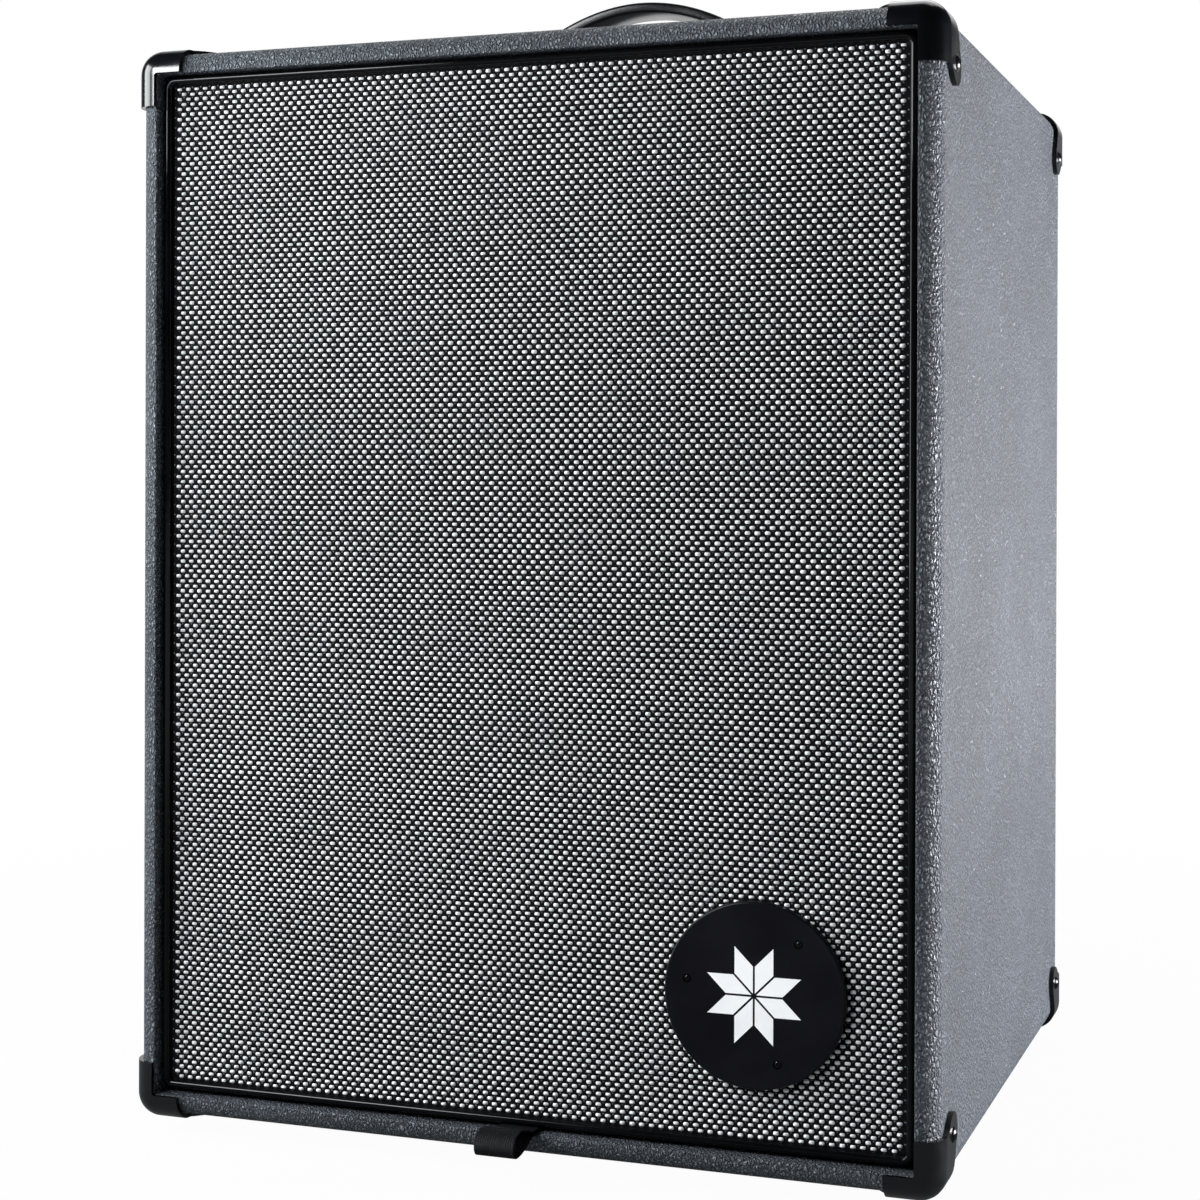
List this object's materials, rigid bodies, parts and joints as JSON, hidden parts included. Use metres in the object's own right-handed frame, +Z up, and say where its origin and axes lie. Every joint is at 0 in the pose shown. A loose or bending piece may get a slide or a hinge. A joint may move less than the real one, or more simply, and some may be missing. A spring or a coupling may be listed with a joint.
{
  "type": "bass combo amplifier",
  "caption": "Tall covered loudspeaker cabinet with a full cloth grille, metal corners, a strap handle and a recessed top control panel.",
  "frame": {"origin": "on the floor, under the middle of the footprint with the pull tab included", "axes": "+Z up, front towards -Y, +X to the right of someone facing the grille"},
  "size_m": [0.4636, 0.4501, 0.6684],
  "materials": {
    "leatherette": "grained mid grey leatherette glued over plywood",
    "black_board": "board painted black",
    "plywood": "bare plywood",
    "black_metal": "satin black powder coat",
    "rubber": "matte black rubber",
    "cloth": "black and silver basket weave grille cloth",
    "piping": "glossy black bead",
    "badge": "satin black plate",
    "webbing": "black woven webbing",
    "paper": "pressed black paper cone",
    "magnet": "dark ferrite and plated steel",
    "black_plastic": "fine grained black plastic",
    "circuit": "green circuit board with its parts",
    "steel": "bare zinc plated sheet",
    "aluminium": "extruded aluminium",
    "panel": "fine textured black panel",
    "red_plastic": "red plastic",
    "lamp": "clear blue lens"
  },
  "bodies": {
    "cabinet": {"cabinet_shell": "leatherette", "baffle_board": "black_board", "rear_panel": "black_board", "amp_shelf": "plywood", "amp_bulkhead": "plywood", "handle_strap": "rubber", "handle_cap_left": "black_metal", "handle_cap_right": "black_metal", "horn_flare": "black_plastic", "horn_driver": "black_metal", "port_tube": "black_plastic", "crossover_board": "circuit", "control_board": "circuit", "power_supply_board": "circuit", "amp_chassis": "steel", "heat_sink": "aluminium", "control_plate": "panel", "rear_plate": "panel", "power_lamp": "lamp", "input_socket": "black_plastic", "phones_socket": "black_plastic", "power_inlet": "black_plastic", "speaker_outlet": "black_plastic", "line_outlet": "black_plastic", "fan_frame": "black_plastic", "corner_front_bottom_left": "black_metal", "corner_front_bottom_right": "black_metal", "corner_front_top_left": "black_metal", "corner_front_top_right": "black_metal", "foot_front_left": "rubber", "foot_front_right": "rubber", "corner_rear_bottom_left": "black_metal", "corner_rear_bottom_right": "black_metal", "corner_rear_top_left": "black_metal", "corner_rear_top_right": "black_metal", "foot_rear_left": "rubber", "foot_rear_right": "rubber", "upper_woofer_basket": "black_metal", "upper_woofer_magnet": "magnet", "upper_woofer_surround": "rubber", "lower_woofer_basket": "black_metal", "lower_woofer_magnet": "magnet", "lower_woofer_surround": "rubber"},
    "gain_knob": {"gain_knob": "black_plastic"},
    "bass_knob": {"bass_knob": "black_plastic"},
    "low_mid_knob": {"low_mid_knob": "black_plastic"},
    "high_mid_knob": {"high_mid_knob": "black_plastic"},
    "treble_knob": {"treble_knob": "black_plastic"},
    "master_knob": {"master_knob": "black_plastic"},
    "mute_button": {"mute_button": "red_plastic"},
    "power_rocker": {"power_rocker": "red_plastic"},
    "fan_rotor": {"fan_rotor": "black_plastic"},
    "upper_cone": {"upper_woofer_cone": "paper"},
    "lower_cone": {"lower_woofer_cone": "paper"},
    "grille": {"grille_frame": "black_board", "grille_cloth": "cloth", "grille_piping": "piping", "grille_badge": "badge", "pull_tab": "webbing"}
  },
  "joints": [
    {"name": "gain_knob_turn", "type": "hinge", "parent": "cabinet", "child": "gain_knob", "pos_m": [-0.1, 0.14135, 0.5997], "axis": [0, 0, 1], "range_deg": [-150, 150]},
    {"name": "bass_knob_turn", "type": "hinge", "parent": "cabinet", "child": "bass_knob", "pos_m": [-0.06, 0.14135, 0.5997], "axis": [0, 0, 1], "range_deg": [-150, 150]},
    {"name": "low_mid_knob_turn", "type": "hinge", "parent": "cabinet", "child": "low_mid_knob", "pos_m": [-0.02, 0.14135, 0.5997], "axis": [0, 0, 1], "range_deg": [-150, 150]},
    {"name": "high_mid_knob_turn", "type": "hinge", "parent": "cabinet", "child": "high_mid_knob", "pos_m": [0.02, 0.14135, 0.5997], "axis": [0, 0, 1], "range_deg": [-150, 150]},
    {"name": "treble_knob_turn", "type": "hinge", "parent": "cabinet", "child": "treble_knob", "pos_m": [0.06, 0.14135, 0.5997], "axis": [0, 0, 1], "range_deg": [-150, 150]},
    {"name": "master_knob_turn", "type": "hinge", "parent": "cabinet", "child": "master_knob", "pos_m": [0.1, 0.14135, 0.5997], "axis": [0, 0, 1], "range_deg": [-150, 150]},
    {"name": "mute_button_push", "type": "slide", "parent": "cabinet", "child": "mute_button", "axis": [0, 0, -1], "range_m": [0, 0.0015], "stiffness_N_per_m": 250},
    {"name": "power_rocker_tilt", "type": "hinge", "parent": "cabinet", "child": "power_rocker", "pos_m": [-0.15, 0.21335, 0.564], "axis": [1, 0, 0], "range_deg": [0, 16]},
    {"name": "fan_spin", "type": "hinge", "parent": "cabinet", "child": "fan_rotor", "pos_m": [0.13, 0.21205, 0.5475], "axis": [0, 1, 0], "continuous": true},
    {"name": "upper_cone_stroke", "type": "slide", "parent": "cabinet", "child": "upper_cone", "axis": [0, -1, 0], "range_m": [-0.004, 0.004], "stiffness_N_per_m": 1500, "deforming": ["upper_woofer_surround"]},
    {"name": "lower_cone_stroke", "type": "slide", "parent": "cabinet", "child": "lower_cone", "axis": [0, -1, 0], "range_m": [-0.004, 0.004], "stiffness_N_per_m": 1500, "deforming": ["lower_woofer_surround"]},
    {"name": "grille_pull", "type": "slide", "parent": "cabinet", "child": "grille", "axis": [0, -1, 0], "range_m": [0, 0.06]}
  ]
}
